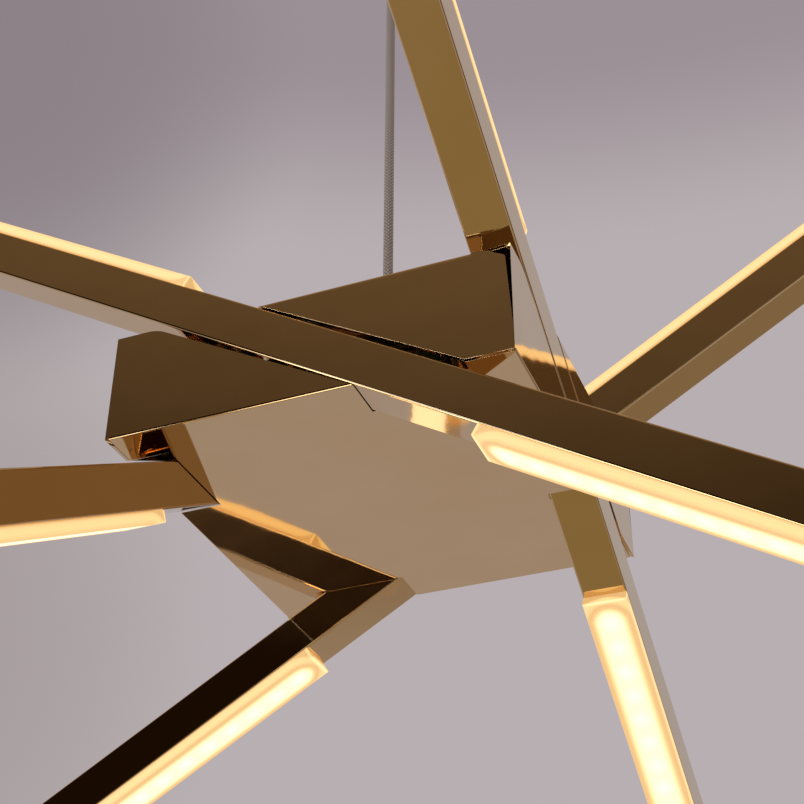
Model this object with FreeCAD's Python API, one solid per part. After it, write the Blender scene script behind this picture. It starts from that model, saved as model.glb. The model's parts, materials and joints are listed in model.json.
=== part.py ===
import FreeCAD, Part
import math
import os

from FreeCAD import Vector

# A cord-hung chandelier: a flat square brass hub with four straight square tubes. Each tube lies flush in one
# side face of the hub and crosses it on the slant, from upper left to lower right as seen from outside.
# Millimetres, +Z up. The origin is on the ceiling, at the middle of the bracket's two screw slots, and X runs
# along the front face. Faces and tubes are named front (-Y), right (+X), back (+Y) and left (-X).

# Hub
hubWidth = 220.0
hubHeight = 64.0
sheet = 2.0  # brass sheet of both shells
seam = 0.15  # open line where the two shells meet
hubBottom = -500.0  # underside of the hub, below the ceiling
slotSlope = 29.5  # degrees below level, going right
slotWidth = 28.7
tipRound = 20.0  # radius of the shells' blunt corners at the slots

# Tubes: quarter turns about Z, slope in degrees, height of the crossing above the hub's underside, and how
# far the tube sits along its own axis towards its low end
tubeSize = 25.0
tubeWall = 1.0
tubeLength = 1200.0
tubes = {
    "front": (0, 31.0, 31.6, 10.5),
    "right": (1, 30.8, 29.5, 1.5),
    "back": (2, 30.6, 29.5, 3.0),
    "left": (3, 31.2, 33.6, 6.5),
}

# Light strips: one on top of the upper half and one under the lower half of each tube
litStart = 102.5  # from the tube's middle to the near end of each diffuser
diffuserHeight = 6.5
diffuserWall = 1.8
stripWidth = 12.0
stripThickness = 1.0
ledPitch = 50.0 / 3.0
ledSize = 3.5
ledHeight = 0.8

# Hanging gear
cordDiameter = 6.0
canopyRadius = 55.0
canopyDepth = 30.0
canopyWall = 1.2
bracketLength = 96.0
bracketWidth = 20.0
bracketThickness = 2.5
screwSlotSpacing = 56.0
screwSlotLength = 12.0
screwSlotWidth = 5.0
canopyScrewX = 42.0
gripLength = 20.0
couplingLength = 22.0
rodRadius = 5.0

# Carrier inside the hub
carrierRise = 12.0  # underside of the carrier above the hub's underside
carrierThickness = 3.0
earWidth = 40.0
pillarAt = 60.0
studX = 58.0
studY = 25.0
runningGap = 0.06
clearGap = 0.3
leadHole = -30.0  # along the tube, from the pivot: where its leads come out of its inner wall

half = hubWidth / 2
hubTop = hubBottom + hubHeight
tubeBack = -half + tubeSize  # inner face of a tube, in the front face's frame
tubeMid = -half + tubeSize / 2
carrierLow = hubBottom + carrierRise
carrierTop = carrierLow + carrierThickness
driverTop = carrierTop + 23.6
gripMouth = -canopyDepth - gripLength
couplingTop = hubTop + clearGap + couplingLength

os.makedirs("parts", exist_ok=True)


def save(name, *solids):
    shape = solids[0] if len(solids) == 1 else Part.makeCompound(list(solids))
    shape.exportStep("parts/" + name + ".step")


def box(x0, x1, y0, y1, z0, z1):
    return Part.makeBox(x1 - x0, y1 - y0, z1 - z0, Vector(x0, y0, z0))


def upright(radius, z0, z1, x=0.0, y=0.0):
    return Part.makeCylinder(radius, z1 - z0, Vector(x, y, z0))


def crosswise(radius, y0, y1, x=0.0, z=0.0):
    return Part.makeCylinder(radius, y1 - y0, Vector(x, y0, z), Vector(0, 1, 0))


def hexagon(acrossFlats, z0, z1, x=0.0, y=0.0):
    corner = acrossFlats / math.sqrt(3)
    angles = [math.radians(60 * i) for i in range(7)]
    points = [Vector(x + corner * math.cos(a), y + corner * math.sin(a), z0) for a in angles]
    return Part.Face(Part.makePolygon(points)).extrude(Vector(0, 0, z1 - z0))


def turned(shape, quarters):
    """The shape, carried from the front face to another face."""
    copy = shape.copy()
    copy.rotate(Vector(0, 0, 0), Vector(0, 0, 1), 90 * quarters)
    return copy


def wire(start, turn, end, radius, bend):
    """A round wire from start to end that turns once, on an arc of radius bend, near the point turn."""
    toStart, toEnd = (start - turn).normalize(), (end - turn).normalize()
    halfAngle = toStart.getAngle(toEnd) / 2
    back = bend / math.tan(halfAngle)
    middle = turn + (toStart + toEnd).normalize() * (bend / math.sin(halfAngle) - bend)
    first, last = turn + toStart * back, turn + toEnd * back
    path = Part.Wire([Part.LineSegment(start, first).toShape(), Part.Arc(first, middle, last).toShape(),
                      Part.LineSegment(last, end).toShape()])
    section = Part.Wire([Part.makeCircle(radius, start, turn - start)])
    return path.makePipeShell([section], True, False)


def outline(corners):
    """A closed wire in the XZ plane from (x, z, radius) corners, with an arc at each rounded corner."""
    edges = []
    start = None
    end = None
    count = len(corners)
    for i in range(count):
        x, z, radius = corners[i]
        here = Vector(x, 0, z)
        toLast = (Vector(corners[i - 1][0], 0, corners[i - 1][1]) - here).normalize()
        toNext = (Vector(corners[(i + 1) % count][0], 0, corners[(i + 1) % count][1]) - here).normalize()
        if radius > 0:
            halfAngle = toLast.getAngle(toNext) / 2
            back = radius / math.tan(halfAngle)
            middle = (toLast + toNext).normalize() * (radius / math.sin(halfAngle) - radius)
            first, last = here + toLast * back, here + toNext * back
        else:
            first, last = here, here
        if end is not None:
            edges.append(Part.LineSegment(end, first).toShape())
        if radius > 0:
            edges.append(Part.Arc(first, here + middle, last).toShape())
        start = start if start is not None else first
        end = last
    edges.append(Part.LineSegment(end, start).toShape())
    return Part.Wire(edges)


def panel(corners, footprint):
    """A side plate in the front face: its outline, cut to the mitred footprint."""
    plate = Part.Face(outline(corners)).extrude(Vector(0, sheet, 0))
    plate.translate(Vector(0, -half, 0))
    points = [Vector(x, y, hubBottom) for x, y in footprint + footprint[:1]]
    mitred = Part.Face(Part.makePolygon(points)).extrude(Vector(0, 0, hubHeight))
    return plate.common(mitred)


def slotEdge(crossing, side, z):
    """x where the slot's upper (+1) or lower (-1) edge is at height z above the hub's underside."""
    slope = math.radians(slotSlope)
    return (crossing + side * slotWidth / 2 / math.cos(slope) - z) / math.tan(slope)


def slotCutter(crossing, quarters):
    """The slanting channel that one tube needs through both shells."""
    cutter = box(-half * 2, half * 2, -half - 1, tubeBack + 0.5, -slotWidth / 2, slotWidth / 2)
    cutter.rotate(Vector(0, 0, 0), Vector(0, 1, 0), slotSlope)
    cutter.translate(Vector(0, 0, hubBottom + crossing))
    return turned(cutter, quarters)


def flangeSeat(x0, x1, z0, quarters):
    """Room at the edge of one shell's plate for the side plate of the other shell."""
    return turned(box(x0, x1, -half - 1, -half + sheet + seam, z0 - 1, z0 + sheet + 1), quarters)


def bottomShell():
    shell = box(-half, half, -half, half, hubBottom, hubBottom + sheet)
    for quarters, slope, crossing, slide in tubes.values():
        shell = shell.cut(flangeSeat(slotEdge(crossing, 1, 4 * sheet), half + 1, hubBottom, quarters))
    for quarters, slope, crossing, slide in tubes.values():
        corners = [(-half, hubBottom, 0), (-half, hubTop, 0),
                   (slotEdge(crossing, -1, hubHeight), hubTop, tipRound),
                   (slotEdge(crossing, -1, 0), hubBottom, 0)]
        mitre = [(-half, -half), (half, -half), (half, -half + sheet), (-half + sheet, -half + sheet)]
        shell = shell.fuse(turned(panel(corners, mitre), quarters))
    for quarters, slope, crossing, slide in tubes.values():
        shell = shell.cut(slotCutter(crossing, quarters))
    return shell.removeSplitter()


def topShell():
    shell = box(-half, half, -half, half, hubTop - sheet, hubTop)
    for quarters, slope, crossing, slide in tubes.values():
        tip = slotEdge(crossing, -1, hubHeight - 4 * sheet)
        shell = shell.cut(flangeSeat(-half - 1, tip, hubTop - sheet, quarters))
    for quarters, slope, crossing, slide in tubes.values():
        # The free corner is cut away on the slant and its edge leans in, which leaves a dark tapering gap.
        corners = [(slotEdge(crossing, 1, hubHeight), hubTop, 0), (slotEdge(crossing, 1, 0), hubBottom, 0),
                   (half, hubBottom, 0), (half, hubBottom + 13, 0), (half - 2.9, hubTop - 6.8, 2),
                   (half - 15.6, hubTop, tipRound)]
        mitre = [(-half, -half), (half - seam, -half), (half - sheet - seam, -half + sheet),
                 (-half, -half + sheet)]
        shell = shell.fuse(turned(panel(corners, mitre), quarters))
    for quarters, slope, crossing, slide in tubes.values():
        shell = shell.cut(slotCutter(crossing, quarters))
    shell = shell.cut(upright(rodRadius + runningGap, hubTop - sheet - 1, hubTop + 1))
    for x in (-pillarAt, pillarAt):
        for y in (-pillarAt, pillarAt):
            shell = shell.cut(upright(2.2, hubTop - sheet - 1, hubTop + 1, x, y))
            shell = shell.cut(Part.makeCone(2.2, 4.3, sheet, Vector(x, y, hubTop - sheet)))
    return shell.removeSplitter()


def placed(shape, face):
    """A piece made along X at the front face's depth, tilted and carried to its own face."""
    quarters, slope, crossing, slide = tubes[face]
    copy = shape.copy()
    copy.rotate(Vector(0, 0, 0), Vector(0, 1, 0), slope)
    copy.translate(Vector(0, 0, hubBottom + crossing))
    return turned(copy, quarters)


def squareTube(slide):
    low, high = slide - tubeLength / 2, slide + tubeLength / 2
    outer = box(low, high, -half, tubeBack, -tubeSize / 2, tubeSize / 2)
    longEdges = [e for e in outer.Edges if abs(e.tangentAt(e.FirstParameter).x) > 0.9]
    outer = outer.makeFillet(1.0, longEdges)
    inner = tubeSize / 2 - tubeWall
    tube = outer.cut(box(low - 1, high + 1, tubeMid - inner, tubeMid + inner, -inner, inner))
    tube = tube.cut(crosswise(4.6, tubeBack - 3, tubeBack + 1))
    tube = tube.cut(crosswise(4.0, tubeBack - 3, tubeBack + 1, leadHole))
    for x, z in ((slide - litStart - 15, 0), (slide + litStart + 15, -tubeSize / 2 - 1)):
        tube = tube.cut(upright(2.5, z, z + tubeSize / 2 + 1, x, tubeMid))
    return tube


def endCap(x, outward):
    """A plug for one end of a tube, with a plate over the end."""
    tongue = tubeSize / 2 - tubeWall - 0.1
    inside = sorted((x, x - outward * 8))
    plate = sorted((x, x + outward * 1.5))
    plug = box(inside[0], inside[1], tubeMid - tongue, tubeMid + tongue, -tongue, tongue)
    return plug.fuse(box(plate[0], plate[1], -half, tubeBack, -tubeSize / 2, tubeSize / 2)).removeSplitter()


def diffuser(x0, x1):
    """A frosted channel, open towards the tube and closed at both ends. It stands on z = 0."""
    outer = box(x0, x1, -half, tubeBack, 0, diffuserHeight)
    rounded = [e for e in outer.Edges if abs(e.tangentAt(e.FirstParameter).x) > 0.9 and e.CenterOfMass.z > 1]
    outer = outer.makeFillet(0.8, rounded)
    return outer.cut(box(x0 + diffuserWall, x1 - diffuserWall, -half + diffuserWall, tubeBack - diffuserWall,
                         -1, diffuserHeight - diffuserWall))


def lightStrip(x0, x1):
    """A board with a row of light-emitting packages on it. It stands on z = 0."""
    margin = 8.0
    edge = stripWidth / 2
    strip = box(x0 + margin, x1 - margin, tubeMid - edge, tubeMid + edge, 0, stripThickness)
    count = int((x1 - x0 - 3 * margin) / ledPitch) + 1
    first = (x0 + x1 - (count - 1) * ledPitch) / 2
    packages = [box(x - ledSize / 2, x + ledSize / 2, tubeMid - ledSize / 2, tubeMid + ledSize / 2,
                    stripThickness - 0.1, stripThickness + ledHeight)
                for x in (first + i * ledPitch for i in range(count))]
    return strip.multiFuse(packages).removeSplitter()


def onTop(shape):
    copy = shape.copy()
    copy.translate(Vector(0, 0, tubeSize / 2))
    return copy


def underneath(shape):
    """The same piece, mirrored through the tube's axis plane onto its lower face."""
    copy = shape.mirror(Vector(0, 0, 0), Vector(0, 0, 1))
    copy.translate(Vector(0, 0, -tubeSize / 2))
    return copy


def pivotInsert():
    """A flanged nut pressed into the tube's inner wall."""
    body = crosswise(4.5, tubeBack - 10, tubeBack).fuse(crosswise(6.5, tubeBack, tubeBack + 1.0))
    return body.cut(crosswise(3.05, tubeBack - 11, tubeBack + 2)).removeSplitter()


def pivotBolt():
    """The bolt that a tube tilts on: its head is inside the hub."""
    ear = tubeBack + 1.2 + carrierThickness
    shank = crosswise(3.0, tubeBack - 12, ear + 1.6)
    washer = crosswise(6.5, ear + 0.2, ear + 1.4)
    head = hexagon(10.0, 0, 4.0)
    head.rotate(Vector(0, 0, 0), Vector(1, 0, 0), -90)
    head.translate(Vector(0, ear + 1.4, 0))
    return shank.multiFuse([washer, head]).removeSplitter()


def makeTube(face):
    slide = tubes[face][3]
    upper = (slide - tubeLength / 2, slide - litStart)
    lower = (slide + litStart, slide + tubeLength / 2)
    save(face + "_tube", placed(squareTube(slide), face))
    save(face + "_end_caps", placed(endCap(upper[0], -1), face), placed(endCap(lower[1], 1), face))
    save(face + "_upper_diffuser", placed(onTop(diffuser(*upper)), face))
    save(face + "_lower_diffuser", placed(underneath(diffuser(*lower)), face))
    save(face + "_upper_strip", placed(onTop(lightStrip(*upper)), face))
    save(face + "_lower_strip", placed(underneath(lightStrip(*lower)), face))
    save(face + "_insert", placed(pivotInsert(), face))
    save(face + "_pivot_bolt", placed(pivotBolt(), face))


def carrier():
    """A folded steel plate: the four tubes bolt to its ears, and it hangs on the hollow rod."""
    reach = -(tubeBack + 1.2)
    base = box(-68, 68, -68, 68, carrierLow, carrierTop)
    for quarters, slope, crossing, slide in tubes.values():
        arm = box(-earWidth / 2, earWidth / 2, -reach, -60, carrierLow, carrierTop)
        ear = box(-earWidth / 2, earWidth / 2, -reach, -reach + carrierThickness, carrierLow, hubBottom + 50)
        hole = crosswise(3.0 + runningGap, -reach - 1, -reach + carrierThickness + 1, 0, hubBottom + crossing)
        # The leads of the light strips pass through a notch in the ear's upper corner.
        notch = box(-earWidth / 2 - 1, -earWidth / 2 + 1.5, -reach - 1, -reach + carrierThickness + 1,
                    hubBottom + 40, hubBottom + 51)
        base = base.fuse(turned(arm.fuse(ear).cut(hole).cut(notch), quarters))
    base = base.cut(upright(rodRadius + runningGap, carrierLow - 1, carrierTop + 1))
    for x in (-studX, studX):
        for y in (-studY, studY):
            base = base.cut(upright(2.2, carrierLow - 1, carrierTop + 1, x, y))
    return base.removeSplitter()


def corners4(x, y):
    return [(i * x, j * y) for i in (-1, 1) for j in (-1, 1)]


def makeHub():
    save("hub_bottom_shell", bottomShell())
    save("hub_top_shell", topShell())
    save("carrier", carrier())
    stud = [upright(2.0, hubBottom + sheet, carrierTop + 6, x, y) for x, y in corners4(studX, studY)]
    save("bottom_studs", *stud)
    spacer = [upright(4.0, hubBottom + sheet, carrierLow, x, y).cut(upright(2.1, hubBottom, carrierTop, x, y))
              for x, y in corners4(studX, studY)]
    save("bottom_spacers", *spacer)
    nut = [hexagon(7.0, carrierTop, carrierTop + 3.2, x, y).cut(upright(2.1, hubBottom, hubTop, x, y))
           for x, y in corners4(studX, studY)]
    save("stud_nuts", *nut)
    pillar = [hexagon(8.0, carrierTop, hubTop - sheet, x, y).cut(upright(2.1, hubTop - 16, hubTop, x, y))
              for x, y in corners4(pillarAt, pillarAt)]
    save("pillars", *pillar)
    screw = [upright(2.0, hubTop - 13, hubTop - sheet, x, y).fuse(Part.makeCone(2.0, 4.0, sheet - 0.2,
             Vector(x, y, hubTop - sheet))).removeSplitter() for x, y in corners4(pillarAt, pillarAt)]
    save("top_screws", *screw)


def makeElectrics():
    for name, side in (("front_driver", -1), ("back_driver", 1)):
        body = box(-44, 44, side * 36 - 17, side * 36 + 17, carrierTop, driverTop)
        alongTop = [e for e in body.Edges
                    if abs(e.tangentAt(e.FirstParameter).x) > 0.9 and e.CenterOfMass.z > driverTop - 1]
        body = body.makeFillet(2.0, alongTop)
        for x in (-48, 48):
            tab = box(x - 4, x + 4, side * 36 - 8, side * 36 + 8, carrierTop, carrierTop + 2.5)
            body = body.fuse(tab.cut(upright(1.7, carrierTop - 1, carrierTop + 4, x, side * 36)))
        save(name, body.removeSplitter())
    tabTop = carrierTop + 2.5
    screws = []
    for x, y in corners4(48, 36):
        head = upright(3.0, tabTop, tabTop + 1.5, x, y)
        screws.append(head.fuse(upright(1.6, carrierTop, tabTop, x, y)).removeSplitter())
    save("driver_screws", *screws)
    board = box(-35, 35, -35, 35, driverTop, driverTop + 1.6).cut(upright(9, driverTop - 1, driverTop + 3))
    save("junction_board", board)
    leads = []
    for quarters, slope, crossing, slide in tubes.values():
        x = leadHole * math.cos(math.radians(slope))
        z = hubBottom + crossing - leadHole * math.sin(math.radians(slope))
        end = Vector(x, -12, driverTop + 1.6)
        lead = wire(Vector(x, tubeBack + 0.5, z), Vector(x, end.y, z), end, 1.2, 5.0)
        leads.append(turned(lead, quarters))
    save("strip_leads", *leads)


def makeCord():
    radius = cordDiameter / 2
    cordTop = gripMouth + 3.4
    save("cord", upright(radius, couplingTop - 14, cordTop))
    coupling = upright(8.0, hubTop + clearGap, couplingTop)
    topEdge = [e for e in coupling.Edges if e.BoundBox.ZMin > couplingTop - 0.1]
    coupling = coupling.makeChamfer(2.0, topEdge)
    coupling = coupling.cut(upright(radius + 0.05, couplingTop - 14, couplingTop + 1))
    coupling = coupling.cut(upright(rodRadius + 0.02, hubTop - 1, couplingTop - 14))
    coupling = coupling.cut(crosswise(1.5, -9, 0, 0, couplingTop - 8))
    save("cord_coupling", coupling)
    save("coupling_screw", crosswise(1.45, -7.8, -radius - 0.05, 0, couplingTop - 8))
    rod = upright(rodRadius, hubBottom + 4, couplingTop - 14).cut(upright(3.2, hubBottom, couplingTop))
    save("hollow_rod", rod)
    save("rod_washer", upright(11, carrierLow - 1.2, carrierLow - 0.2).cut(upright(5.03, hubBottom, hubTop)))
    save("rod_nut", hexagon(17, carrierLow - 7.2, carrierLow - 1.2).cut(upright(5.03, hubBottom, hubTop)))


def makeCanopy():
    bracket = Part.makeBox(bracketLength, bracketWidth, bracketThickness,
                           Vector(-bracketLength / 2, -bracketWidth / 2, -bracketThickness))
    bracket = bracket.cut(upright(5.5, -bracketThickness - 1, 1))
    slotRadius = screwSlotWidth / 2
    for side in (-1, 1):
        x = side * screwSlotSpacing / 2
        straight = (screwSlotLength - screwSlotWidth) / 2
        slot = box(x - straight, x + straight, -slotRadius, slotRadius, -bracketThickness - 1, 1)
        for end in (-straight, straight):
            slot = slot.fuse(upright(slotRadius, -bracketThickness - 1, 1, x + end))
        bracket = bracket.cut(slot).cut(upright(2.05, -bracketThickness - 1, 1, side * canopyScrewX))
    save("ceiling_bracket", bracket.removeSplitter())

    cup = upright(canopyRadius, -canopyDepth, 0)
    rim = [e for e in cup.Edges if e.BoundBox.ZMax < -canopyDepth + 0.1]
    cup = cup.makeFillet(3.0, rim)
    hollow = upright(canopyRadius - canopyWall, -canopyDepth + canopyWall, 1)
    floor = [e for e in hollow.Edges if e.BoundBox.ZMax < -canopyDepth + canopyWall + 0.1]
    cup = cup.cut(hollow.makeFillet(2.0, floor)).cut(upright(5.1, -canopyDepth - 1, 0))
    for side in (-1, 1):
        cup = cup.cut(upright(2.2, -canopyDepth - 1, 0, side * canopyScrewX))
    save("canopy_cup", cup)

    screws = [upright(2.0, -37, -0.2, side * canopyScrewX) for side in (-1, 1)]
    save("canopy_screws", *screws)
    nuts = []
    for side in (-1, 1):
        x = side * canopyScrewX
        ball = Part.makeSphere(5.5, Vector(x, 0, -35.0)).common(box(x - 6, x + 6, -6, 6, -41, -30))
        nuts.append(ball.cut(upright(2.03, -37.5, -29, x)))
    save("canopy_nuts", *nuts)

    radius = cordDiameter / 2
    grip = upright(7.0, gripMouth + 6, -canopyDepth)
    grip = grip.fuse(Part.makeCone(5.0, 7.0, 6.0, Vector(0, 0, gripMouth)))
    grip = grip.fuse(upright(5.0, -canopyDepth, -18)).cut(upright(radius + 0.1, gripMouth - 1, -17))
    # A flared mouth lets the cord lean without rubbing.
    grip = grip.cut(Part.makeCone(radius + 0.85, radius + 0.3, 4.0, Vector(0, 0, gripMouth)))
    save("cord_grip", grip.removeSplitter())
    lock = hexagon(14, -canopyDepth + canopyWall, -canopyDepth + canopyWall + 5)
    save("grip_nut", lock.cut(upright(5.03, -canopyDepth, -18)))
    save("cord_tail", upright(radius, gripMouth + 4.0, -15))

    block = box(-15, 15, 24, 38, -16, -4)
    for x in (-9, 0, 9):
        block = block.cut(crosswise(2.8, 23, 34, x, -10)).cut(upright(2.2, -7, -3, x, 31))
    save("mains_terminal", block)
    wires = []
    for side in (-1, 0, 1):
        start = Vector(side * 1.7, 0, -15)
        wires.append(wire(start, Vector(start.x, 0, -10), Vector(side * 9, 33, -10), 0.7, 3.0))
    save("mains_wires", *wires)


makeCanopy()
makeCord()
makeHub()
makeElectrics()
for face in tubes:
    makeTube(face)
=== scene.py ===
import bpy
import bmesh
import json
import math
from mathutils import Matrix, Vector


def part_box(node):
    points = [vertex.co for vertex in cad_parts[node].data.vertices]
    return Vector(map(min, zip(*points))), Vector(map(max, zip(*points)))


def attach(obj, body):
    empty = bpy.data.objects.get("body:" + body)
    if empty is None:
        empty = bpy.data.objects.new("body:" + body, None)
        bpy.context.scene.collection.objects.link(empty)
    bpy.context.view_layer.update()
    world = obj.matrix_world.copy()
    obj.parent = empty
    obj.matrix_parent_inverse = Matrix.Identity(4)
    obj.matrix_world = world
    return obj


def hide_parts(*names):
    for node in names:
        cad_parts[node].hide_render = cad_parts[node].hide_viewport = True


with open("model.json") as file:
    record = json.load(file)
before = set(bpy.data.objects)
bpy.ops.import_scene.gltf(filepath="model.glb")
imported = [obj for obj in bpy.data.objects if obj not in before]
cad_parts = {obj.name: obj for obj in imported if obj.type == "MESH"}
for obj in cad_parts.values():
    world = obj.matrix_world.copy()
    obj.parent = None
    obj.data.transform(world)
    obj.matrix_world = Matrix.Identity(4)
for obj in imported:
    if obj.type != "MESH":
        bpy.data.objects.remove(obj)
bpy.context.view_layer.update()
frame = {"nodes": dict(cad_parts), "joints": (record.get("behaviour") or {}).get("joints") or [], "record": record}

# A brass lamp on a cord: four square tubes lie in the side faces of a flat square hub.
# Metres, in the CAD model's frame. The pieces of each side face are made flat along X,
# then tilted and turned.

mm = 0.001
scene = bpy.context.scene
scene.view_settings.view_transform = "Standard"
jointAt = {joint["name"]: Vector(joint["pos_m"]) for joint in frame["joints"]}
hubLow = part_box("hub_bottom_shell")[0]
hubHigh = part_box("hub_top_shell")[1]
bottomZ = hubLow[2]
topZ = hubHigh[2]
half = hubHigh[0]

# quarter turns about Z, slope in degrees below level, and how much nearer to the tube than in the CAD model
# the lower end of its slot comes
tubes = {
    "front": {"quarters": 0, "slope": 31.0, "closeUp": 0.9 * mm},
    "right": {"quarters": 1, "slope": 30.8, "closeUp": 0.9 * mm},
    "back": {"quarters": 2, "slope": 30.6, "closeUp": 0.9 * mm},
    "left": {"quarters": 3, "slope": 31.2, "closeUp": 0.0},
}


def linear(hexCode):
    channels = [int(hexCode[i:i + 2], 16) / 255 for i in (1, 3, 5)]
    return [c / 12.92 if c <= 0.04045 else ((c + 0.055) / 1.055) ** 2.4 for c in channels] + [1.0]


def node(tree, kind, settings=None, inputs=None):
    # inputs gives a socket a value, or links another node's output to it
    made = tree.nodes.new(kind)
    for key, value in (settings or {}).items():
        setattr(made, key, value)
    for key, value in (inputs or {}).items():
        if isinstance(value, bpy.types.NodeSocket):
            tree.links.new(value, made.inputs[key])
        else:
            made.inputs[key].default_value = value
    return made


def newMaterial(name):
    made = bpy.data.materials.new(name)
    made.use_nodes = True
    made.node_tree.nodes.clear()
    return made, made.node_tree


def finishMaterial(tree, shader):
    node(tree, "ShaderNodeOutputMaterial", {}, {"Surface": shader.outputs[0]})


# The camera stands below the hub, to the right of its front face, and looks up at it.
camera = {
    "place": (0.2762, -0.6672, -0.9224),
    "turn": 0.3804,  # radians to the left of +Y
    "rise": 0.5946,  # radians above level
    "roll": -0.0042,
    "lens": 68.74,
    "sensor": 36.0,
}


def makeCamera():
    data = bpy.data.cameras.new("camera")
    data.lens = camera["lens"]
    data.sensor_width = camera["sensor"]
    data.clip_start = 0.01
    made = bpy.data.objects.new("camera", data)
    scene.collection.objects.link(made)
    turn = Matrix.Rotation(camera["turn"], 4, "Z")
    rise = Matrix.Rotation(camera["rise"], 4, "X") @ Matrix.Rotation(camera["roll"], 4, "Y")
    level = Matrix.Rotation(math.pi / 2, 4, "X")
    made.matrix_world = Matrix.Translation(camera["place"]) @ turn @ rise @ level
    scene.camera = made


makeCamera()
print("camera ready")

# The cord hangs straight, from inside the grip at the ceiling to inside the coupling on the hub.
cord = {
    "diameter": 6 * mm,
    "gripMouth": -50.0 * mm,
    "strands": 8,  # braid yarns that wind each way
    "diamond": 2.6 * mm,  # length of one diamond of the braid
    "fuzz": mm / 0.9,  # size of the loose fibre ends, drawn coarser than real so that they show
    "fuzzShare": 0.25,
}


def braidedTextile():
    # Braided polyester sleeve: matt grey yarn in fine diamonds, with painted shade in dark lines where the yarns
    # dive, and a tone that drifts at random with the loose fibres.
    made, tree = newMaterial("braidedPolyesterGrey")
    place = node(tree, "ShaderNodeTexCoord")
    split = node(tree, "ShaderNodeSeparateXYZ", {}, {0: place.outputs["Object"]})
    angle = node(tree, "ShaderNodeMath", {"operation": "ARCTAN2"},
                 {0: split.outputs["Y"], 1: split.outputs["X"]})
    around = node(tree, "ShaderNodeMath", {"operation": "MULTIPLY"},
                  {0: angle.outputs[0], 1: cord["strands"] / 2})
    down = node(tree, "ShaderNodeMath", {"operation": "MULTIPLY"},
                {0: split.outputs["Z"], 1: math.pi / cord["diamond"]})
    waves = []
    for operation in ("ADD", "SUBTRACT"):
        phase = node(tree, "ShaderNodeMath", {"operation": operation},
                     {0: around.outputs[0], 1: down.outputs[0]})
        sine = node(tree, "ShaderNodeMath", {"operation": "SINE"}, {0: phase.outputs[0]})
        waves.append(node(tree, "ShaderNodeMath", {"operation": "ABSOLUTE"}, {0: sine.outputs[0]}))
    braid = node(tree, "ShaderNodeMath", {"operation": "MULTIPLY"},
                 {0: waves[0].outputs[0], 1: waves[1].outputs[0]})
    fuzz = node(tree, "ShaderNodeTexNoise", {},
                {"Vector": place.outputs["Object"], "Scale": 1 / cord["fuzz"], "Detail": 3.0})
    height = node(tree, "ShaderNodeMath", {"operation": "MULTIPLY_ADD"},
                  {0: fuzz.outputs[0], 1: cord["fuzzShare"], 2: braid.outputs[0]})
    # painted shade: the yarn colour darkens in the dips of the braid; the fuzz adds random tone
    tone = node(tree, "ShaderNodeMix", {"data_type": "RGBA"},
                {0: height.outputs[0], 6: linear("#4E4744"), 7: linear("#A0948F")})
    bump = node(tree, "ShaderNodeBump", {},
                {"Strength": 0.8, "Distance": 0.5 * mm, "Height": height.outputs[0]})
    shader = node(tree, "ShaderNodeBsdfPrincipled", {}, {
        "Base Color": tone.outputs[2], "Roughness": 0.85, "Sheen Weight": 0.3, "Sheen Roughness": 0.4,
        "Normal": bump.outputs[0]})
    finishMaterial(tree, shader)
    return made


def makeCord():
    low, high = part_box("cord")
    route = [(0, 0, high[2]), (0, 0, (high[2] + low[2]) / 2), (0, 0, low[2])]
    data = bpy.data.curves.new("braidedCord", "CURVE")
    data.dimensions = "3D"
    data.bevel_depth = cord["diameter"] / 2
    data.bevel_resolution = 6
    data.use_fill_caps = True
    spline = data.splines.new("NURBS")
    spline.points.add(len(route) - 1)
    for point, place in zip(spline.points, route):
        point.co = (*place, 1.0)
    spline.order_u = 3
    spline.use_endpoint_u = True
    data.materials.append(braidedTextile())
    made = bpy.data.objects.new("braidedCord", data)
    scene.collection.objects.link(made)
    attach(made, "cord")
    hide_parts("cord")


makeCord()
print("cord ready")

brass = {
    "light": "#E9CDA3",
    "dark": "#DFBF90",
    "roughness": (0.024, 0.072),  # where the polish is clearest, and where it is haziest
    "haze": 60.0 * mm,  # size of the faint polishing clouds
    "grain": 0.35 * mm,  # width of the polishing lines, drawn coarser than real so that they show
    "grainRoughness": 0.015,
    "wave": 42.0 * mm,  # length of the slow waves in the sheet
    "stray": 0.45 * mm,  # height of those waves, drawn higher than real so that reflections waver
}


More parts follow.
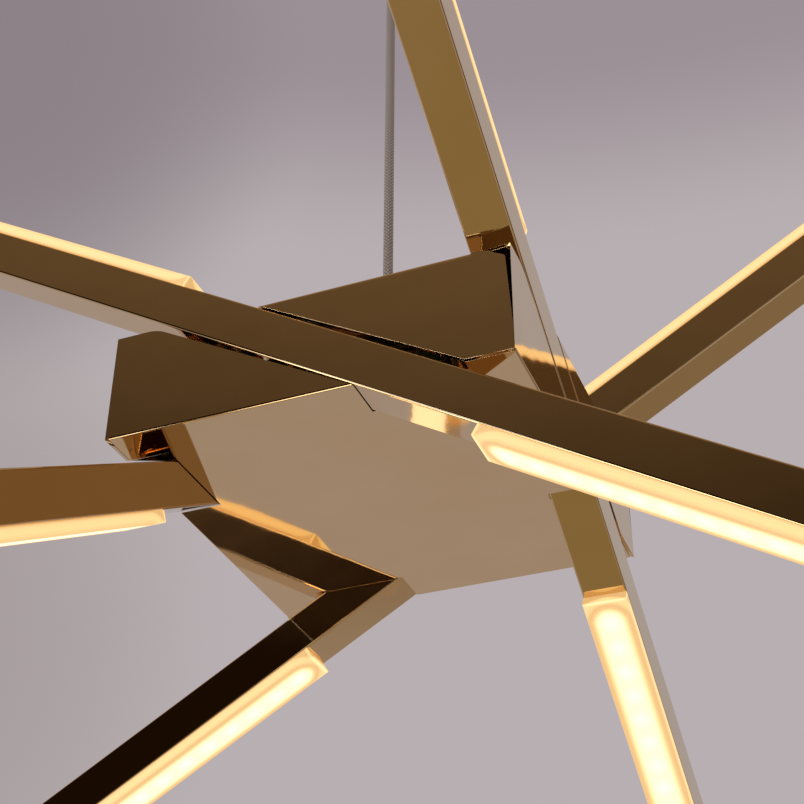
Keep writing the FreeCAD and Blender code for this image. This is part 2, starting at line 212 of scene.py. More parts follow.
def polishedBrass():
    # Mirror-polished and lacquered sheet brass: a clear warm reflection, faint haze from the polishing wheel,
    # and a sheet that is not quite flat, so long reflections waver.
    made, tree = newMaterial("polishedLacqueredBrass")
    place = node(tree, "ShaderNodeTexCoord")
    clouds = node(tree, "ShaderNodeTexNoise", {}, {
        "Vector": place.outputs["Object"], "Scale": 1 / brass["haze"], "Detail": 4.0, "Roughness": 0.6})
    lines = node(tree, "ShaderNodeTexNoise", {},
                 {"Vector": place.outputs["Object"], "Scale": 1 / brass["grain"], "Detail": 2.0})
    clearest, haziest = brass["roughness"]
    haze = node(tree, "ShaderNodeMapRange", {},
                {0: clouds.outputs[0], 1: 0.3, 2: 0.8, 3: clearest, 4: haziest})
    rough = node(tree, "ShaderNodeMath", {"operation": "MULTIPLY_ADD"},
                 {0: lines.outputs[0], 1: brass["grainRoughness"], 2: haze.outputs[0]})
    tone = node(tree, "ShaderNodeMix", {"data_type": "RGBA"},
                {0: clouds.outputs[0], 6: linear(brass["dark"]), 7: linear(brass["light"])})
    waves = node(tree, "ShaderNodeTexNoise", {}, {
        "Vector": place.outputs["Object"], "Scale": 1 / brass["wave"], "Detail": 1.5, "Roughness": 0.45})
    flat = node(tree, "ShaderNodeBump", {},
                {"Strength": 0.5, "Distance": brass["stray"], "Height": waves.outputs[0]})
    shader = node(tree, "ShaderNodeBsdfPrincipled", {}, {
        "Base Color": tone.outputs[2], "Metallic": 1.0, "Roughness": rough.outputs[0],
        "Coat Weight": 0.15, "Coat Roughness": 0.05, "Normal": flat.outputs[0]})
    finishMaterial(tree, shader)
    return made


diffuser = {
    "length": 497.5 * mm,
    "width": 25.0 * mm,
    "height": 6.5 * mm,
    "wall": 1.8 * mm,
    "edge": 0.8 * mm,
    "start": 102.5 * mm,  # from the tube's middle to the near end
    "pitch": 50.0 / 3.0 * mm,  # between two lights on the strip behind it
    "spot": 8.0 * mm,  # radius of the glow over one light
    "rowEnd": 15.0 * mm,  # from the closed end back to where the row of lights stops
    "rim": 1.6 * mm,  # width of the painted highlight line round the closed end
    "rowLight": 0.88,  # brightness of the row as a whole, and what a spot and the painted highlight line add
    "spotLight": 0.14,
    "paintedRimHighlight": 0.25,
    "frost": 0.4 * mm,  # grit of the sandblasting, drawn coarser than real so that it shows
    "body": "#8F8067",
    "glow": 1.05,
    # brightness from the middle of the lit face, over its edge (0.66), to the foot of the side wall
    "profile": ((0.0, 1.0), (0.34, 0.95), (0.44, 0.6), (0.52, 0.3), (0.62, 0.22), (0.7, 0.34), (0.8, 0.44),
                (0.93, 0.4), (1.0, 0.18)),
    "tones": ((0.0, "#BE8C50"), (0.22, "#DDB070"), (0.45, "#FAD892"), (0.78, "#FFF3BE"), (1.0, "#FFFCE4")),
}


def setRamp(ramp, stops):
    elements = ramp.color_ramp.elements
    while len(elements) < len(stops):
        elements.new(0.5)
    for element, (where, colour) in zip(elements, stops):
        element.position = where
        element.color = colour


def frostedAcrylic():
    # Sandblasted opal acrylic over a row of warm lights: near white along the middle with a faint spot over
    # each light, amber at the edges and the closed ends, a satin surface, and a painted highlight line round
    # each end where its rounded rim would catch the light.
    made, tree = newMaterial("frostedAcrylicLit")
    place = node(tree, "ShaderNodeUVMap", {"uv_map": "alongAndAcross"})
    split = node(tree, "ShaderNodeSeparateXYZ", {}, {0: place.outputs[0]})
    steps = node(tree, "ShaderNodeMath", {"operation": "DIVIDE"}, {0: split.outputs[0], 1: diffuser["pitch"]})
    nearest = node(tree, "ShaderNodeMath", {"operation": "ROUND"}, {0: steps.outputs[0]})
    offStep = node(tree, "ShaderNodeMath", {"operation": "SUBTRACT"},
                   {0: steps.outputs[0], 1: nearest.outputs[0]})
    offLight = node(tree, "ShaderNodeMath", {"operation": "MULTIPLY"},
                    {0: offStep.outputs[0], 1: diffuser["pitch"]})
    toLight = node(tree, "ShaderNodeCombineXYZ", {}, {0: offLight.outputs[0], 1: split.outputs[1]})
    distance = node(tree, "ShaderNodeVectorMath", {"operation": "LENGTH"}, {0: toLight.outputs[0]})
    spot = node(tree, "ShaderNodeMapRange", {"interpolation_type": "SMOOTHSTEP"},
                {0: distance.outputs[1], 1: 0.0, 2: diffuser["spot"], 3: 1.0, 4: 0.0})
    along = node(tree, "ShaderNodeMath", {"operation": "ABSOLUTE"}, {0: split.outputs[0]})
    past = node(tree, "ShaderNodeMath", {"operation": "SUBTRACT"},
                {0: along.outputs[0], 1: diffuser["length"] / 2 - diffuser["rowEnd"]})
    over = node(tree, "ShaderNodeMath", {"operation": "MAXIMUM"}, {0: past.outputs[0], 1: 0.0})
    toRow = node(tree, "ShaderNodeCombineXYZ", {}, {0: over.outputs[0], 1: split.outputs[1]})
    off = node(tree, "ShaderNodeVectorMath", {"operation": "LENGTH"}, {0: toRow.outputs[0]})
    reach = diffuser["width"] / 2 + diffuser["height"]
    share = node(tree, "ShaderNodeMath", {"operation": "DIVIDE"}, {0: off.outputs[1], 1: reach})
    band = node(tree, "ShaderNodeValToRGB", {}, {0: share.outputs[0]})
    setRamp(band, [(where, (level, level, level, 1.0)) for where, level in diffuser["profile"]])
    # painted highlight: a brighter line of emission round each closed end, in place of the light its rounded rim
    # catches
    fromRimHighlight = node(tree, "ShaderNodeMath", {"operation": "SUBTRACT"},
                   {0: along.outputs[0], 1: diffuser["length"] / 2 - diffuser["rim"] / 2})
    offRimHighlight = node(tree, "ShaderNodeMath", {"operation": "ABSOLUTE"}, {0: fromRimHighlight.outputs[0]})
    rim = node(tree, "ShaderNodeMapRange", {"interpolation_type": "SMOOTHSTEP"},
               {0: offRimHighlight.outputs[0], 1: 0.0, 2: diffuser["rim"], 3: diffuser["paintedRimHighlight"], 4: 0.0})
    spotLit = node(tree, "ShaderNodeMath", {"operation": "MULTIPLY"},
                   {0: spot.outputs[0], 1: band.outputs[0]})
    row = node(tree, "ShaderNodeMath", {"operation": "MULTIPLY_ADD"},
               {0: band.outputs[0], 1: diffuser["rowLight"], 2: rim.outputs[0]})
    light = node(tree, "ShaderNodeMath", {"operation": "MULTIPLY_ADD"},
                 {0: spotLit.outputs[0], 1: diffuser["spotLight"], 2: row.outputs[0]})
    ramp = node(tree, "ShaderNodeValToRGB", {}, {0: light.outputs[0]})
    setRamp(ramp, [(where, linear(colour)) for where, colour in diffuser["tones"]])
    solid = node(tree, "ShaderNodeTexCoord")
    frost = node(tree, "ShaderNodeTexNoise", {},
                 {"Vector": solid.outputs["Object"], "Scale": 1 / diffuser["frost"], "Detail": 2.0})
    bump = node(tree, "ShaderNodeBump", {},
                {"Strength": 0.15, "Distance": 0.1 * mm, "Height": frost.outputs[0]})
    shader = node(tree, "ShaderNodeBsdfPrincipled", {}, {
        "Base Color": linear(diffuser["body"]), "Roughness": 0.42, "IOR": 1.49, "Normal": bump.outputs[0],
        "Emission Color": ramp.outputs[0], "Emission Strength": diffuser["glow"]})
    finishMaterial(tree, shader)
    return made


zinc = {
    "light": "#C3C6CA",
    "dark": "#9EA1A6",
    "patch": 5.0 * mm,
    "grain": 1.2 * mm,
    "roughness": (0.256, 0.416),
}


def zincPlating():
    # Zinc-plated steel: cool grey with soft patches of crystal and a dull shine.
    made, tree = newMaterial("zincPlatedSteel")
    place = node(tree, "ShaderNodeTexCoord")
    patches = node(tree, "ShaderNodeTexVoronoi", {},
                   {"Vector": place.outputs["Object"], "Scale": 1 / zinc["patch"]})
    fine = node(tree, "ShaderNodeTexNoise", {},
                {"Vector": place.outputs["Object"], "Scale": 1 / zinc["grain"]})
    tone = node(tree, "ShaderNodeMix", {"data_type": "RGBA"},
                {0: patches.outputs["Color"], 6: linear(zinc["dark"]), 7: linear(zinc["light"])})
    rough = node(tree, "ShaderNodeMapRange", {},
                 {0: fine.outputs[0], 3: zinc["roughness"][0], 4: zinc["roughness"][1]})
    shader = node(tree, "ShaderNodeBsdfPrincipled", {}, {
        "Base Color": tone.outputs[2], "Metallic": 1.0, "Roughness": rough.outputs[0]})
    finishMaterial(tree, shader)
    return made


def moulded(name, light, dark, grain, roughness):
    # Moulded or coated plastic: one even colour that drifts a little, with a fine spark-eroded grain.
    made, tree = newMaterial(name)
    place = node(tree, "ShaderNodeTexCoord")
    patch = 20 * mm
    drift = node(tree, "ShaderNodeTexNoise", {}, {"Vector": place.outputs["Object"], "Scale": 1 / patch})
    texture = node(tree, "ShaderNodeTexNoise", {},
                   {"Vector": place.outputs["Object"], "Scale": 1 / grain, "Detail": 3.0})
    tone = node(tree, "ShaderNodeMix", {"data_type": "RGBA"},
                {0: drift.outputs[0], 6: linear(dark), 7: linear(light)})
    bump = node(tree, "ShaderNodeBump", {},
                {"Strength": 0.25, "Distance": 0.1 * mm, "Height": texture.outputs[0]})
    shader = node(tree, "ShaderNodeBsdfPrincipled", {}, {
        "Base Color": tone.outputs[2], "Roughness": roughness, "Normal": bump.outputs[0]})
    finishMaterial(tree, shader)
    return made


finishes = {
    "polished_brass": polishedBrass(),
    "frosted_acrylic": frostedAcrylic(),
    "light_strip": moulded("whiteSolderMaskStrip", "#F3EEDD", "#E6DFC9", 0.8 * mm, 0.35),
    "braided_cord": bpy.data.materials["braidedPolyesterGrey"],
    "zinc_plated_steel": zincPlating(),
    "white_plastic": moulded("whiteMouldedPolycarbonate", "#ECE9E2", "#DFDBD2", 0.6 * mm, 0.5),
    "circuit_board": moulded("greenSolderMaskBoard", "#2F6B45", "#285C3B", 0.8 * mm, 0.3),
    "wire_insulation": moulded("siliconeWireInsulation", "#B9B2A6", "#A39C90", 0.5 * mm, 0.55),
}


def dressCadNodes():
    for part in frame["record"]["subparts"]:
        for slot in frame["nodes"][part["node"]].material_slots:
            slot.material = finishes[part["material_slot"]]


dressCadNodes()
print("materials ready")


def meshObject(name, bm):
    mesh = bpy.data.meshes.new(name)
    bm.to_mesh(mesh)
    bm.free()
    made = bpy.data.objects.new(name, mesh)
    scene.collection.objects.link(made)
    return made


def finishPiece(bm, name, slotName, body, replaced, bevel=0.3 * mm, place=None):
    # the mesh becomes an object at the origin, its fine edges rounded and its flat faces kept flat
    if place is not None:
        bmesh.ops.transform(bm, matrix=place, verts=bm.verts)
    made = meshObject(name, bm)
    made.data.shade_smooth()
    made.data.materials.append(finishes[slotName])
    rounded = made.modifiers.new("fineEdges", "BEVEL")
    rounded.width = bevel
    rounded.segments = 3
    rounded.limit_method = "ANGLE"
    rounded.angle_limit = math.radians(40)  # rounds real edges, not the facets of curves
    shading = made.modifiers.new("flatFaces", "WEIGHTED_NORMAL")
    shading.weight = 100
    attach(made, body)
    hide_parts(*replaced)
    return made


def block(bm, x0, x1, y0, y1, z0, z1):
    made = bmesh.ops.create_cube(bm, size=1.0)
    bmesh.ops.scale(bm, vec=(x1 - x0, y1 - y0, z1 - z0), verts=made["verts"])
    bmesh.ops.translate(bm, vec=((x0 + x1) / 2, (y0 + y1) / 2, (z0 + z1) / 2), verts=made["verts"])
    return made["verts"]


def faceToward(verts, direction):
    # of the faces on these vertices, the one that looks most that way
    faces = {face for vert in verts for face in vert.link_faces}
    for face in faces:
        face.normal_update()
    return max(faces, key=lambda face: face.normal.dot(Vector(direction)))


def alongX(bm):
    return [edge for edge in bm.edges if abs((edge.verts[0].co - edge.verts[1].co).normalized().x) > 0.99]


# The two folded shells, each a flat plate with a part of every side face.
# Heights are above the hub's underside.
shell = {
    "height": topZ - bottomZ,
    "sheet": 2.0 * mm,
    "seam": 0.15 * mm,
    "bend": {"bottom": 1.2 * mm, "top": 2.4 * mm},  # outer radius of the folds
    "slotSlope": math.radians(29.5),
    "slotWidth": 28.7 * mm,
    "slotDepth": 25.5 * mm,
    "tip": 20.0 * mm,
    # the top shell's right-hand edge leans: how far in from the hub's corner, and height
    "lean": ((0.15 * mm, 13.0 * mm), (2.9 * mm, 57.2 * mm), (15.6 * mm, 64.0 * mm)),
    "leanRound": 2.0 * mm,
    "screwAt": 60.0 * mm,
    "countersink": (2.2 * mm, 4.3 * mm),  # radius at the sheet's underside and at its top
    "rodHole": 5.06 * mm,
    "rim": 0.45 * mm,  # rounding of all the other edges
    "leastFold": 30.0 * mm,  # a fold is at least this long, between two faces of at least this area
    "leastSide": 1000.0 * mm * mm,
}


def slotEdge(crossing, side, z):
    reach = side * shell["slotWidth"] / 2 / math.cos(shell["slotSlope"])
    return (crossing + reach - z) / math.tan(shell["slotSlope"])


def quarterTurn(quarters):
    return Matrix.Rotation(math.radians(90 * quarters), 4, "Z")


def sidePlate(bm, corners, quarters):
    # corners are x, height and radius, anticlockwise from outside; the plate is made in front and turned
    verts = [bm.verts.new((x, -half, bottomZ + z)) for x, z, radius in corners]
    face = bm.faces.new(verts)
    for vert, (x, z, radius) in zip(list(verts), corners):
        if radius > 0:
            toNext = [(edge.other_vert(vert).co - vert.co) for edge in vert.link_edges]
            cut = radius / math.tan(toNext[0].angle(toNext[1]) / 2)
            segments = 10 if radius == shell["tip"] else 3
            bmesh.ops.bevel(bm, geom=[vert], offset=cut, offset_type="OFFSET", segments=segments, profile=0.5,
                            affect="VERTICES", material=-1)
    bm.faces.ensure_lookup_table()
    face = bm.faces[-1]
    bmesh.ops.rotate(bm, cent=(0, 0, 0), matrix=Matrix.Rotation(math.radians(90 * quarters), 3, "Z"),
                     verts=list(face.verts))
    return face


def foldShell(bm, z, slant, bend):
    # The skin gets its thickness inwards, then the slot's walls are slanted, the corners mitred and the folds
    # rounded. z is the height of the flat plate, and slant is 1 under the hub and -1 on its top.
    bmesh.ops.remove_doubles(bm, verts=bm.verts, dist=0.02 * mm)
    bmesh.ops.solidify(bm, geom=bm.verts[:] + bm.edges[:] + bm.faces[:], thickness=shell["sheet"])
    inner = z + slant * shell["sheet"]
    shift = -slant * shell["sheet"] / math.tan(shell["slotSlope"])
    near = 0.05 * mm
    for face, tube in tubes.items():
        crossing = jointAt[face + "_tilt"].z - bottomZ
        back = quarterTurn(-tube["quarters"])
        ends = [slotEdge(crossing, side, z - bottomZ) for side in (-1, 1)]
        ends[0] += tube["closeUp"] * (slant > 0)
        slanted, mitred = [], []
        for vert in bm.verts:
            at = back @ vert.co
            inSlot = abs(at.z - inner) < near and at.y < -half + shell["slotDepth"] + near
            if inSlot and min(abs(at.x - end) for end in ends) < near:
                slanted.append(vert)
            behind = abs(at.y + half - shell["sheet"]) < near
            if behind and abs(at.x) > half - shell["sheet"] / 2 and (at.x < 0) == (slant > 0):
                mitred.append(vert)
        out = back.inverted()
        bmesh.ops.translate(bm, vec=out @ Vector((shift, 0, 0)), verts=slanted)
        bmesh.ops.translate(bm, vec=out @ Vector((slant * shell["sheet"], 0, 0)), verts=mitred)
    folds = []
    for edge in bm.edges:
        onPlate = all(abs(vert.co.z - z) < near for vert in edge.verts)
        sides = [face for face in edge.link_faces if face.calc_area() > shell["leastSide"]]
        if onPlate and len(sides) == 2 and edge.calc_length() > shell["leastFold"]:
            folds.append(edge)
    bmesh.ops.bevel(bm, geom=folds, offset=bend, offset_type="OFFSET", segments=6, profile=0.5,
                    affect="EDGES", material=-1)


def drilledTop(bm):
    # four countersunk screw holes and the hole for the hollow rod, all cut at once
    drill = bmesh.new()
    under, outer = shell["countersink"]
    spare = 0.2 * mm
    flare = (outer - under) / shell["sheet"] * spare
    depth = shell["sheet"] + 2 * spare
    at = shell["screwAt"]
    holes = [(x, y, under - flare, outer + flare) for x in (-at, at) for y in (-at, at)]
    holes.append((0, 0, shell["rodHole"], shell["rodHole"]))
    for x, y, low, high in holes:
        cone = bmesh.ops.create_cone(drill, cap_ends=True, segments=48, depth=depth,
                                     radius1=low, radius2=high)
        bmesh.ops.translate(drill, vec=(x, y, topZ - shell["sheet"] / 2), verts=cone["verts"])
    sheet, cutter = meshObject("topSheet", bm), meshObject("drill", drill)
    cut = sheet.modifiers.new("holes", "BOOLEAN")
    cut.object = cutter
    cut.solver = "EXACT"
    ready = sheet.evaluated_get(bpy.context.evaluated_depsgraph_get())
    drilled = bmesh.new()
    drilled.from_mesh(bpy.data.meshes.new_from_object(ready))
    bpy.data.objects.remove(sheet)
    bpy.data.objects.remove(cutter)
    return drilled


def bottomShell():
    bm = bmesh.new()
    seat = -half + shell["sheet"] + shell["seam"]
    rim = []
    for face, tube in tubes.items():
        crossing = jointAt[face + "_tilt"].z - bottomZ
        low, high = slotEdge(crossing, -1, 0) + tube["closeUp"], slotEdge(crossing, 1, 0)
        tip = slotEdge(crossing, -1, shell["height"])
        sidePlate(bm, [(-half, 0, 0), (seat, 0, 0), (low, 0, 0), (tip, shell["height"], shell["tip"]),
                       (-half, shell["height"], 0)], tube["quarters"])
        deep = -half + shell["slotDepth"]
        turn = quarterTurn(tube["quarters"])
        for x, y in ((seat, -half), (low, -half), (low, deep), (high, deep), (high, seat)):
            rim.append(bm.verts.new(turn @ Vector((x, y, bottomZ))))
    bm.faces.new(rim[::-1])
    foldShell(bm, bottomZ, 1, shell["bend"]["bottom"])
    return finishPiece(bm, "bottomShell", "polished_brass", "hub", ["hub_bottom_shell"], shell["rim"])


def topShell():
    bm = bmesh.new()
    seat = -half + shell["sheet"] + shell["seam"]
    rim = []
    for face, tube in tubes.items():
        crossing = jointAt[face + "_tilt"].z - bottomZ
        low, high = slotEdge(crossing, -1, shell["height"]), slotEdge(crossing, 1, shell["height"])
        lean = [(half - inset, z) for inset, z in shell["lean"]]
        corners = [(slotEdge(crossing, 1, 0), 0, 0), (lean[0][0], 0, 0), (*lean[0], 0),
                   (*lean[1], shell["leanRound"]), (*lean[2], shell["tip"]), (high, shell["height"], 0)]
        plate = sidePlate(bm, corners, tube["quarters"])
        turn = quarterTurn(tube["quarters"])
        back = turn.inverted()
        foldEnd = max((back @ vert.co).x for vert in plate.verts if vert.co.z > topZ - 0.01 * mm)
        deep = -half + shell["slotDepth"]
        for x, y in ((-half, seat), (low, seat), (low, deep), (high, deep), (high, -half), (foldEnd, -half)):
            rim.append(bm.verts.new(turn @ Vector((x, y, topZ))))
    bm.faces.new(rim)
    foldShell(bm, topZ, -1, shell["bend"]["top"])
    return finishPiece(drilledTop(bm), "topShell", "polished_brass", "hub", ["hub_top_shell"], shell["rim"])


bottomShell()
topShell()
print("hub shells ready")

tubeSize = {
    "side": 25.0 * mm,
    "wall": 1.0 * mm,
    "length": 1200.0 * mm,
    "edge": 1.3 * mm,  # rounding of the long edges
    "capPlate": 1.5 * mm,
    "tongue": 8.0 * mm,  # how far a cap goes into the tube
    "tongueInset": 1.1 * mm,
}


def tubePlace(face):
    low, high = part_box(face + "_tube")
    middle = (Vector(low) + Vector(high)) / 2
    tilt = Matrix.Rotation(math.radians(tubes[face]["slope"]), 4, "Y")
    return Matrix.Translation(middle) @ quarterTurn(tubes[face]["quarters"]) @ tilt


def squareTube(face):
    bm = bmesh.new()
    side, length = tubeSize["side"] / 2, tubeSize["length"] / 2
    block(bm, -length, length, -side, side, -side, side)
    bmesh.ops.bevel(bm, geom=alongX(bm), offset=tubeSize["edge"], offset_type="OFFSET", segments=4,
                    profile=0.5, affect="EDGES", material=-1)
    bm.normal_update()
    bmesh.ops.delete(bm, geom=[f for f in bm.faces if abs(f.normal.x) > 0.9], context="FACES")
    bmesh.ops.solidify(bm, geom=bm.verts[:] + bm.edges[:] + bm.faces[:], thickness=tubeSize["wall"])
    finishPiece(bm, face + "Tube", "polished_brass", face + "_bar", [face + "_tube"], 0.15 * mm,
                tubePlace(face))


def endCaps(face):
    bm = bmesh.new()
    side, length = tubeSize["side"] / 2, tubeSize["length"] / 2
    for outward in (-1, 1):
        ends = sorted((outward * length, outward * (length + tubeSize["capPlate"])))
        verts = block(bm, *ends, -side, side, -side, side)
        inner = faceToward(verts, (-outward, 0, 0))
        bmesh.ops.inset_region(bm, faces=[inner], thickness=tubeSize["tongueInset"], use_even_offset=True)
        tongue = bmesh.ops.extrude_discrete_faces(bm, faces=[inner])["faces"][0]
        bmesh.ops.translate(bm, vec=(-outward * tubeSize["tongue"], 0, 0), verts=tongue.verts)
    finishPiece(bm, face + "EndCaps", "polished_brass", face + "_bar", [face + "_end_caps"], 0.3 * mm,
                tubePlace(face))


def diffuserChannel(face, end):
    bm = bmesh.new()
    length, side, height = diffuser["length"] / 2, diffuser["width"] / 2, diffuser["height"]
    verts = block(bm, -length, length, -side, side, 0, height)
    bottom = faceToward(verts, (0, 0, -1))
    bmesh.ops.inset_region(bm, faces=[bottom], thickness=diffuser["wall"], use_even_offset=True)
    hollow = bmesh.ops.extrude_discrete_faces(bm, faces=[bottom])["faces"][0]
    bmesh.ops.translate(bm, vec=(0, 0, height - diffuser["wall"]), verts=hollow.verts)
    outer = [edge for edge in alongX(bm) if min(v.co.z for v in edge.verts) > height - 0.1 * mm]
    bmesh.ops.bevel(bm, geom=outer, offset=diffuser["edge"], offset_type="OFFSET", segments=4, profile=0.5,
                    affect="EDGES", material=-1)
    bm.normal_update()
    # metres along from the diffuser's middle and across over the lit face, going on down its walls
    layer = bm.loops.layers.uv.new("alongAndAcross")
    for corner in (loop for f in bm.faces for loop in f.loops):
        x, y, z = corner.vert.co
        normal = corner.face.normal
        u = x + math.copysign(height - z, x) if abs(normal.x) > 0.5 else x
        v = y + math.copysign(height - z, y) if abs(normal.y) > 0.5 else y
        corner[layer].uv = (u, v)
    outward = -1 if end == "Upper" else 1
    onTube = Matrix.Translation((outward * (diffuser["start"] + length), 0, -outward * tubeSize["side"] / 2))
    flip = Matrix.Rotation(math.pi if end == "Lower" else 0, 4, "X")
    finishPiece(bm, face + end + "Diffuser", "frosted_acrylic", face + "_bar",
                [face + "_" + end.lower() + "_diffuser"], 0.25 * mm, tubePlace(face) @ onTube @ flip)


for face in tubes:
    squareTube(face)
    endCaps(face)
    diffuserChannel(face, "Upper")
    diffuserChannel(face, "Lower")
print("tubes and diffusers ready")


def turnedPiece(name, outline, body, replaced, bevel=0.3 * mm, places=((0, 0),)):
    # outline is a closed ring of radius and height points, spun about the vertical axis
    bm = bmesh.new()
    for x, y in places:
        ring = [bm.verts.new((radius, 0, z)) for radius, z in outline]
        edges = [bm.edges.new((ring[i - 1], ring[i])) for i in range(len(ring))
                 if ring[i - 1].co.x > 0 or ring[i].co.x > 0]
        bmesh.ops.spin(bm, geom=ring + edges, axis=(0, 0, 1), cent=(0, 0, 0), angle=2 * math.pi, steps=64,
                       use_merge=True)
        fresh = [vert for vert in bm.verts if not vert.tag]
        bmesh.ops.remove_doubles(bm, verts=fresh, dist=0.005 * mm)
        fresh = [vert for vert in bm.verts if not vert.tag]
        bmesh.ops.translate(bm, vec=(x, y, 0), verts=fresh)
        for vert in fresh:
            vert.tag = True
    bmesh.ops.recalc_face_normals(bm, faces=bm.faces)
    return finishPiece(bm, name, "polished_brass", body, replaced, bevel)


def arc(radius, centre, start, end, steps):
    # points of an arc, angles in degrees from straight out
    angles = [math.radians(start + (end - start) * i / steps) for i in range(steps + 1)]
    return [(centre[0] + radius * math.cos(a), centre[1] + radius * math.sin(a)) for a in angles]


canopy = {
    "radius": 55.0 * mm,
    "depth": 30.0 * mm,
    "wall": 1.2 * mm,
    "rim": 3.0 * mm,
    "bore": 5.1 * mm,
    "nutAt": 42.0 * mm,
    "nutRadius": 5.5 * mm,
    "nutCentre": -35.0 * mm,
    "nutBore": 2.03 * mm,
    "nutBoreEnd": 2.5 * mm,  # below the ball's middle
}


def makeCanopy():
    radius, depth, wall, rim = canopy["radius"], canopy["depth"], canopy["wall"], canopy["rim"]
    outer = arc(rim, (radius - rim, rim - depth), -90, 0, 6)
    inner = arc(rim - wall, (radius - rim, rim - depth), 0, -90, 6)
    outline = ([(canopy["bore"], -depth)] + outer + [(radius, 0), (radius - wall, 0)] + inner
               + [(canopy["bore"], wall - depth)])
    turnedPiece("canopyCup", outline, "ceiling", ["canopy_cup"])
    centre, ball, bore = canopy["nutCentre"], canopy["nutRadius"], canopy["nutBore"]
    topAngle = math.degrees(math.asin((-depth - centre) / ball))
    outline = arc(ball, (0, centre), -90, topAngle, 14)
    outline[0] = (0, centre - ball)
    boreEnd = centre - canopy["nutBoreEnd"]
    outline += [(bore, -depth), (bore, boreEnd), (0, boreEnd)]
    turnedPiece("canopyNuts", outline, "ceiling", ["canopy_nuts"], 0.2 * mm,
                ((-canopy["nutAt"], 0), (canopy["nutAt"], 0)))


# the tapered grip under the canopy, through whose cup its neck goes up
grip = {
    "radius": 7.0 * mm,
    "neck": 5.0 * mm,  # also the radius of the small end of the taper
    "taper": 6.0 * mm,
    "neckTop": -18.0 * mm,
    "bore": 3.1 * mm,
    "flare": (3.3 * mm, 3.85 * mm),  # the bore widens from the first radius to the second at the mouth
    "flareDepth": 4.0 * mm,
}

# the sleeve that joins the cord, from above, to the hollow rod
coupling = {
    "radius": 8.0 * mm,
    "topRadius": 6.0 * mm,
    "chamfer": 2.0 * mm,
    "cordBore": 3.05 * mm,
    "rodBore": 5.02 * mm,
    "cordDepth": 14.0 * mm,
}


def makeGrip():
    mouth, shoulder, neckTop = cord["gripMouth"], -canopy["depth"], grip["neckTop"]
    radius, neck, bore = grip["radius"], grip["neck"], grip["bore"]
    flareTop = mouth + grip["flareDepth"]
    narrow, wide = grip["flare"]
    outline = [(wide, mouth), (neck, mouth), (radius, mouth + grip["taper"]), (radius, shoulder),
               (neck, shoulder), (neck, neckTop), (bore, neckTop), (bore, flareTop), (narrow, flareTop)]
    turnedPiece("cordGrip", outline, "ceiling", ["cord_grip"])


def makeCoupling():
    low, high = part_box("cord_coupling")[0][2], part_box("cord_coupling")[1][2]
    radius, cordBore, rodBore = coupling["radius"], coupling["cordBore"], coupling["rodBore"]
    step = high - coupling["cordDepth"]
    outline = [(cordBore, high), (coupling["topRadius"], high), (radius, high - coupling["chamfer"]),
               (radius, low), (rodBore, low), (rodBore, step), (cordBore, step)]
    turnedPiece("cordCoupling", outline, "cord", ["cord_coupling"])


makeCanopy()
makeGrip()
makeCoupling()
print("canopy and cord ends ready")

# The backdrop that is seen directly, and the room that the brass mirrors. A patch has a direction,
# the half angle in degrees where it ends, the one within which it is full, and a colour.
studio = {
    "wall": "#B8AFB2",
    "wallHigh": "#9B9096",
    "wallRise": (0.63, 0.73),  # steepness of the view where the wall starts to darken, and where it is dark
    "wallPatches": (
        ((-0.64, 0.65, 0.40), 15, 3, "#A89E9F"),
        ((-0.50, 0.51, 0.70), 13, 1, "#8C8288"),
    ),
    "room": (0.43, 0.39, 0.40),
    "unlit": ((-0.2, -0.9, 0.35), 75, 45),  # the unlit part of the room, behind the viewer
    "dark": (0.012, 0.006, 0.002),  # its lower half
    "dusk": (0.175, 0.122, 0.072),  # its upper half
    "duskRise": (0.42, 0.68),
    "carpet": ((0.3, -0.94, -0.1), 42, 22, (0.20, 0.165, 0.13)),  # at the hub's level, behind on the right
    "mirrored": (
        ((0.9, 0.35, 0.3), 58, 30, (0.14, 0.078, 0.032)),  # warm side wall
        ((0.0, -0.1, -1.0), 45, 15, (0.29, 0.225, 0.115)),  # warm light from below
        ((0.62, 0.6, -0.5), 35, 18, (0.27, 0.21, 0.145)),  # floor on the far right
        ((0.35, 0.78, 0.5), 30, 12, (0.45, 0.43, 0.46)),  # cooler wall on the far right
        ((-0.79, -0.43, -0.45), 16, 10, (6.0, 5.5, 4.8)),  # soft box, low on the left
        ((-0.33, -0.6, -0.73), 15, 8, (4.0, 3.6, 3.0)),  # soft box below the viewer
        ((-0.63, -0.78, 0.0), 7, 4, (2.2, 2.3, 2.7)),  # daylight, level with the hub
        ((0.0, 0.0, 1.0), 40, 20, (0.30, 0.20, 0.10)),  # warm ceiling
    ),
    "floorZ": -2.6,
    "floorSize": 300.0,
}


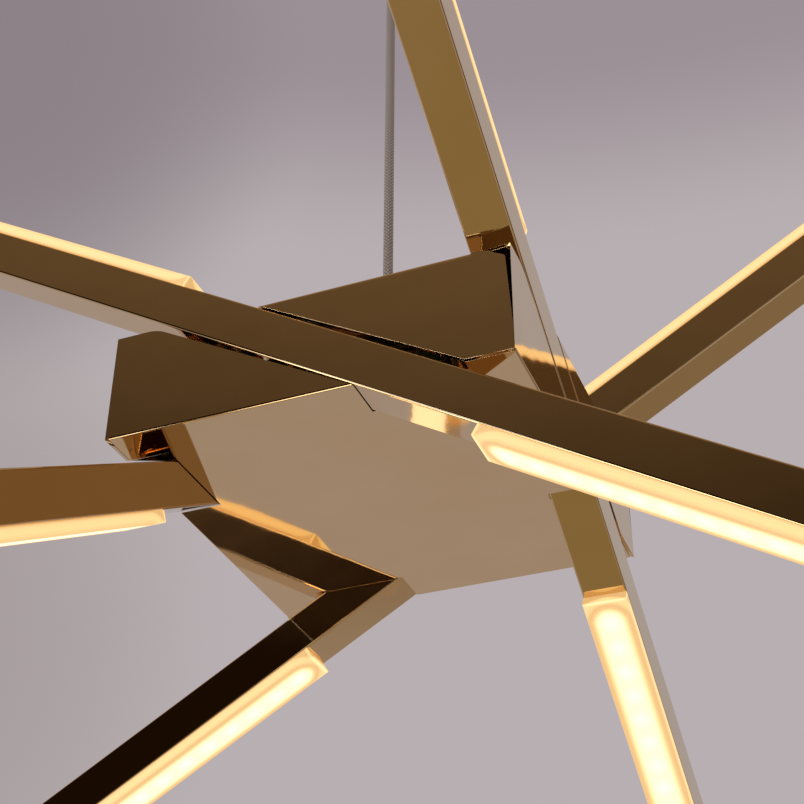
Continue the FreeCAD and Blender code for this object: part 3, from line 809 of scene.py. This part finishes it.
def studioWorld():
    world = bpy.data.worlds.new("studio")
    scene.world = world
    world.use_nodes = True
    tree = world.node_tree
    tree.nodes.clear()
    ray = node(tree, "ShaderNodeTexCoord").outputs["Generated"]

    def toward(direction, wide, narrow):
        aim = Vector(direction).normalized()
        dot = node(tree, "ShaderNodeVectorMath", {"operation": "DOT_PRODUCT"}, {0: ray, 1: aim})
        edge = [math.cos(math.radians(angle)) for angle in (wide, narrow)]
        return node(tree, "ShaderNodeMapRange", {"interpolation_type": "SMOOTHSTEP"},
                    {0: dot.outputs["Value"], 1: edge[0], 2: edge[1], 3: 0.0, 4: 1.0}).outputs[0]

    def blend(factor, under, over):
        over = over if isinstance(over, bpy.types.NodeSocket) else (*over[:3], 1.0)
        return node(tree, "ShaderNodeMix", {"data_type": "RGBA"}, {0: factor, 6: under, 7: over}).outputs[2]

    level = node(tree, "ShaderNodeSeparateXYZ", {}, {0: ray}).outputs["Z"]
    low, high = studio["duskRise"]
    rise = node(tree, "ShaderNodeMapRange", {}, {0: level, 1: low, 2: high, 3: 0.0, 4: 1.0}).outputs[0]
    behind = blend(rise, (*studio["dark"], 1.0), studio["dusk"])
    *place, colour = studio["carpet"]
    behind = blend(toward(*place), behind, colour)
    room = blend(toward(*studio["unlit"]), (*studio["room"], 1.0), behind)
    for *place, colour in studio["mirrored"]:
        room = blend(toward(*place), room, colour)
    low, high = studio["wallRise"]
    steep = node(tree, "ShaderNodeMapRange", {"interpolation_type": "SMOOTHSTEP"},
                 {0: level, 1: low, 2: high, 3: 0.0, 4: 1.0}).outputs[0]
    seen = blend(steep, linear(studio["wall"]), linear(studio["wallHigh"]))
    for *place, colour in studio["wallPatches"]:
        seen = blend(toward(*place), seen, linear(colour))
    straight = node(tree, "ShaderNodeLightPath").outputs["Is Camera Ray"]
    back = node(tree, "ShaderNodeBackground", {}, {"Color": blend(straight, room, seen), "Strength": 1.0})
    node(tree, "ShaderNodeOutputWorld", {}, {"Surface": back.outputs[0]})


def makeFloor():
    # Pale matt plaster floor, with slow drifts of tone about 1.4 m long.
    made, tree = newMaterial("paleMattPlaster")
    place = node(tree, "ShaderNodeTexCoord")
    drift = node(tree, "ShaderNodeTexNoise", {},
                 {"Vector": place.outputs["Object"], "Scale": 0.7, "Detail": 4.0})
    tone = node(tree, "ShaderNodeMix", {"data_type": "RGBA"},
                {0: drift.outputs[0], 6: linear("#E2DCDE"), 7: linear("#EAE5E6")})
    shader = node(tree, "ShaderNodeBsdfPrincipled", {}, {"Base Color": tone.outputs[2], "Roughness": 0.8})
    finishMaterial(tree, shader)
    bm = bmesh.new()
    bmesh.ops.create_grid(bm, x_segments=1, y_segments=1, size=studio["floorSize"] / 2)
    bmesh.ops.translate(bm, vec=(0, 0, studio["floorZ"]), verts=bm.verts)
    floor = meshObject("floor", bm)
    floor.data.materials.append(made)
    floor.visible_glossy = False


softBoxes = {
    "key": {"place": (-1.8, -1.6, 0.9), "size": 1.6, "power": 45.0},
    "fill": {"place": (1.9, -0.8, 0.4), "size": 1.8, "power": 20.0},
    "back": {"place": (0.6, 2.0, 1.2), "size": 1.6, "power": 25.0},
}

# a little warm light finds its way into the hub, so that the slots are not black
spill = {"power": 0.3, "colour": (1.0, 0.36, 0.12), "radius": 50.0 * mm}

# an even light over the floor, from nearly overhead
wash = {"power": 1.3, "spread": 40.0, "lean": (25.0, -20.0, 0.0)}


def makeLight(name, kind, power, place=(0, 0, 0)):
    made = bpy.data.objects.new(name, bpy.data.lights.new(name, kind))
    scene.collection.objects.link(made)
    made.data.energy = power
    made.location = place
    made.visible_glossy = False
    return made


def makeLights():
    hubMiddle = Vector((0, 0, (bottomZ + topZ) / 2))
    for name, box in softBoxes.items():
        made = makeLight(name, "AREA", box["power"], box["place"])
        made.data.size = box["size"]
        made.visible_camera = False
        made.rotation_euler = (hubMiddle - made.location).to_track_quat("-Z", "Y").to_euler()
    inside = makeLight("spill", "POINT", spill["power"], hubMiddle)
    inside.data.color = spill["colour"]
    inside.data.shadow_soft_size = spill["radius"]
    inside.visible_camera = False
    overhead = makeLight("wash", "SUN", wash["power"])
    overhead.data.angle = math.radians(wash["spread"])
    overhead.rotation_euler = [math.radians(angle) for angle in wash["lean"]]


studioWorld()
makeFloor()
makeLights()
print("studio ready")

bpy.context.view_layer.update()
